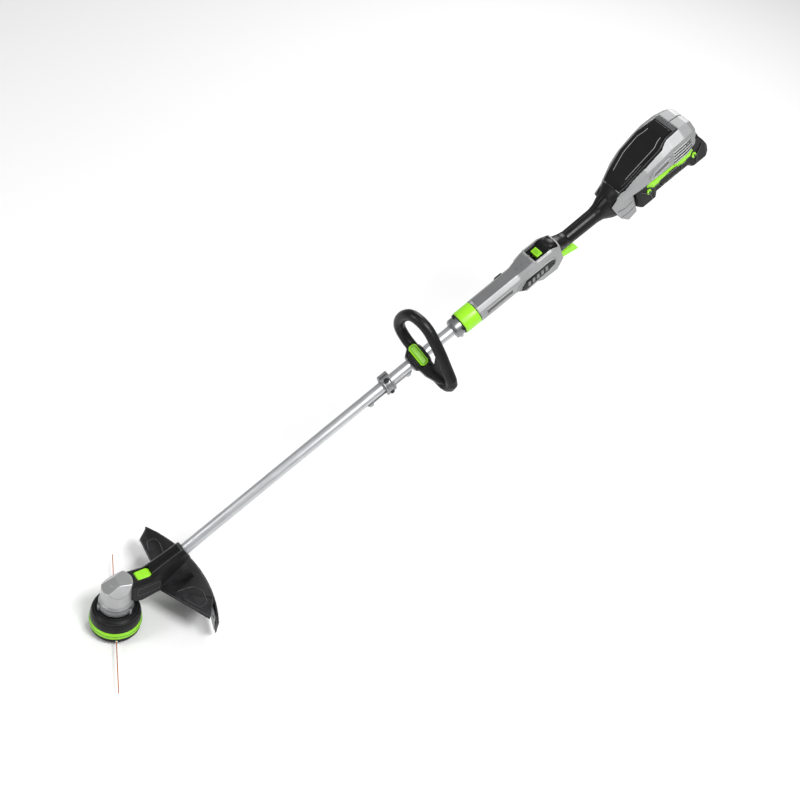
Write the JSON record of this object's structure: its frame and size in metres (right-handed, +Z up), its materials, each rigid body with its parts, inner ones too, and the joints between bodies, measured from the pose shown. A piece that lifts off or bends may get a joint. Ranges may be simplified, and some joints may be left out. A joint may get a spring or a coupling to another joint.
{
  "type": "battery string trimmer",
  "caption": "Battery string trimmer: spinning line head under a front motor, slanted tube, side-rolled loop handle, trigger housing, rear grip and a slide-out battery at the back.",
  "frame": {"origin": "centre of the flat face under the bump knob, on the axis the head spins on", "axes": "+X points forward, +Y to the operator's left, +Z up along the head's spin axis; the tube rises backwards at 31 degrees"},
  "size_m": [1.5444, 0.3464, 0.9938],
  "materials": {
    "silver": "satin moulded plastic with a fine metallic tone",
    "black": "fine-textured moulded nylon",
    "soft_black": "soft overmoulded elastomer",
    "lime": "smooth moulded plastic",
    "tube": "satin anodised",
    "cast": "tumbled die casting",
    "steel": "zinc plated",
    "copper": "bare copper alloy",
    "line": "extruded nylon"
  },
  "bodies": {
    "frame": {"motor_dome": "silver", "control_housing_left": "silver", "control_housing_right": "silver", "battery_housing_left": "silver", "battery_housing_right": "silver", "arm_shell_left": "black", "arm_shell_right": "black", "guard": "black", "side_badge_left": "black", "side_badge_right": "black", "lock_off_bezel": "black", "trigger_switch": "black", "housing_top_cover": "black", "motor_lead": "soft_black", "rear_grip_left": "soft_black", "rear_grip_right": "soft_black", "arm_cap": "lime", "collar_band": "lime", "shaft_tube": "tube", "motor_base": "cast", "strap_clamp_left": "cast", "strap_clamp_right": "cast", "limit_sleeve": "cast", "shaft_ferrule": "cast", "controller_module": "cast", "bearing_lower": "steel", "bearing_upper": "steel", "guard_screw_1": "steel", "guard_screw_2": "steel", "cutter_blade": "steel", "blade_screw_1": "steel", "blade_screw_2": "steel", "clamp_screw_upper": "steel", "clamp_screw_lower": "steel", "ferrule_screw": "steel", "trigger_pin": "steel", "trigger_spring": "steel", "stator": "copper", "terminal_block": "copper"},
    "head": {"rotor": "steel", "motor_shaft": "steel", "head_upper_cap": "black", "head_band": "lime", "head_lower_cover": "black", "spool": "black", "wound_line": "line", "line_end_near": "line", "line_end_far": "line", "eyelet_near": "tube", "eyelet_far": "tube", "bump_spring": "steel"},
    "knob": {"bump_knob": "black"},
    "handle": {"loop_handle": "soft_black", "handle_clamp": "black"},
    "lever": {"handle_lever": "lime"},
    "trigger": {"trigger": "lime"},
    "lock_slide": {"lock_off_slide": "lime"},
    "battery": {"battery_case": "black", "battery_trim": "lime"},
    "release": {"battery_release_button": "lime"}
  },
  "joints": [
    {"name": "head_spin", "type": "hinge", "parent": "frame", "child": "head", "pos_m": [0, 0, 0], "axis": [0, 0, 1], "continuous": true},
    {"name": "knob_press", "type": "slide", "parent": "head", "child": "knob", "axis": [0, 0, 1], "range_m": [0, 0.005], "stiffness_N_per_m": 600, "springref_m": -0.004, "deforming": ["bump_spring"]},
    {"name": "trigger_squeeze", "type": "hinge", "parent": "frame", "child": "trigger", "pos_m": [-1.07456, 0, 0.68563], "axis": [0, 1, 0], "range_deg": [0, 9], "stiffness_Nm_per_rad": 2, "springref_deg": -8.59},
    {"name": "lock_off_push", "type": "slide", "parent": "frame", "child": "lock_slide", "axis": [0.8572, 0, -0.515], "range_m": [0, 0.007], "stiffness_N_per_m": 300, "springref_m": -0.004},
    {"name": "battery_slide", "type": "slide", "parent": "frame", "child": "battery", "axis": [-0.8572, 0, 0.515], "range_m": [0, 0.22]},
    {"name": "release_press", "type": "slide", "parent": "frame", "child": "release", "axis": [0.8572, 0, -0.515], "range_m": [0, 0.004], "stiffness_N_per_m": 400, "springref_m": -0.003},
    {"name": "handle_slide", "type": "slide", "parent": "frame", "child": "handle", "axis": [-0.8572, 0, 0.515], "range_m": [0, 0.06]},
    {"name": "lever_lift", "type": "hinge", "parent": "handle", "child": "lever", "pos_m": [-0.71228, 0.01024, 0.52552], "axis": [-0.2954, 0.8192, -0.4917], "range_deg": [0, 55]}
  ]
}
